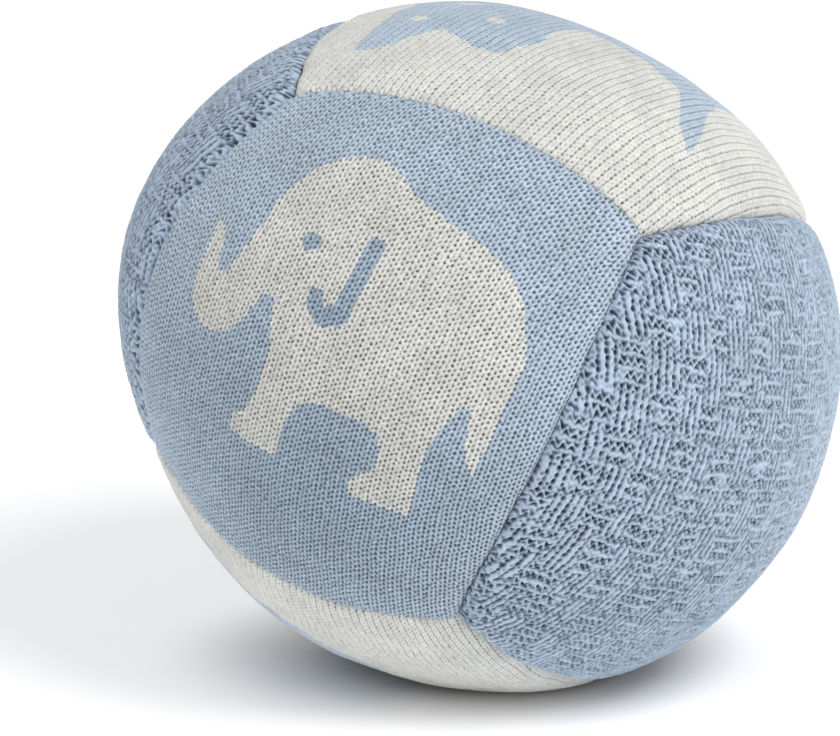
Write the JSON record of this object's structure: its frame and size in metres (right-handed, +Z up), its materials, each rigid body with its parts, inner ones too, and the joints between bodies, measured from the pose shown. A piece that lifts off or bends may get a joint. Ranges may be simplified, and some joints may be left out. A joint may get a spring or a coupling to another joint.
{
  "type": "stuffed knitted ball",
  "caption": "Soft round baby's ball sewn from knitted four-sided panels, with an elephant knitted into the fine panels and coarse textured knit on the sides.",
  "frame": {"origin": "on the surface the ball rests on, under the middle of its box", "axes": "+Z up; -Y the way the front panel faces; +X to the right of the front panel"},
  "size_m": [0.1498, 0.1482, 0.1421],
  "materials": {
    "blue_jacquard": "fine two-colour jacquard knit, blue ground",
    "off_white_jacquard": "fine two-colour jacquard knit, off-white ground",
    "blue_textured_knit": "coarse textured knit, matt",
    "filling_fibre": "loose polyester fibre",
    "blue_thread": "sewing thread",
    "off_white_thread": "sewing thread"
  },
  "bodies": {
    "root": {"front_panel": "blue_jacquard", "back_panel": "blue_jacquard", "left_panel": "blue_textured_knit", "right_panel": "blue_textured_knit", "bottom_panel": "off_white_jacquard", "top_panel": "off_white_jacquard", "filling": "filling_fibre", "seam_thread_front_left": "blue_thread", "seam_thread_front_right": "blue_thread", "seam_thread_front_bottom": "off_white_thread", "seam_thread_front_top": "off_white_thread", "seam_thread_back_left": "blue_thread", "seam_thread_back_right": "blue_thread", "seam_thread_back_bottom": "off_white_thread", "seam_thread_back_top": "off_white_thread", "seam_thread_left_bottom": "blue_thread", "seam_thread_left_top": "blue_thread", "seam_thread_right_bottom": "blue_thread", "seam_thread_right_top": "blue_thread", "closing_thread": "off_white_thread"}
  },
  "joints": []
}
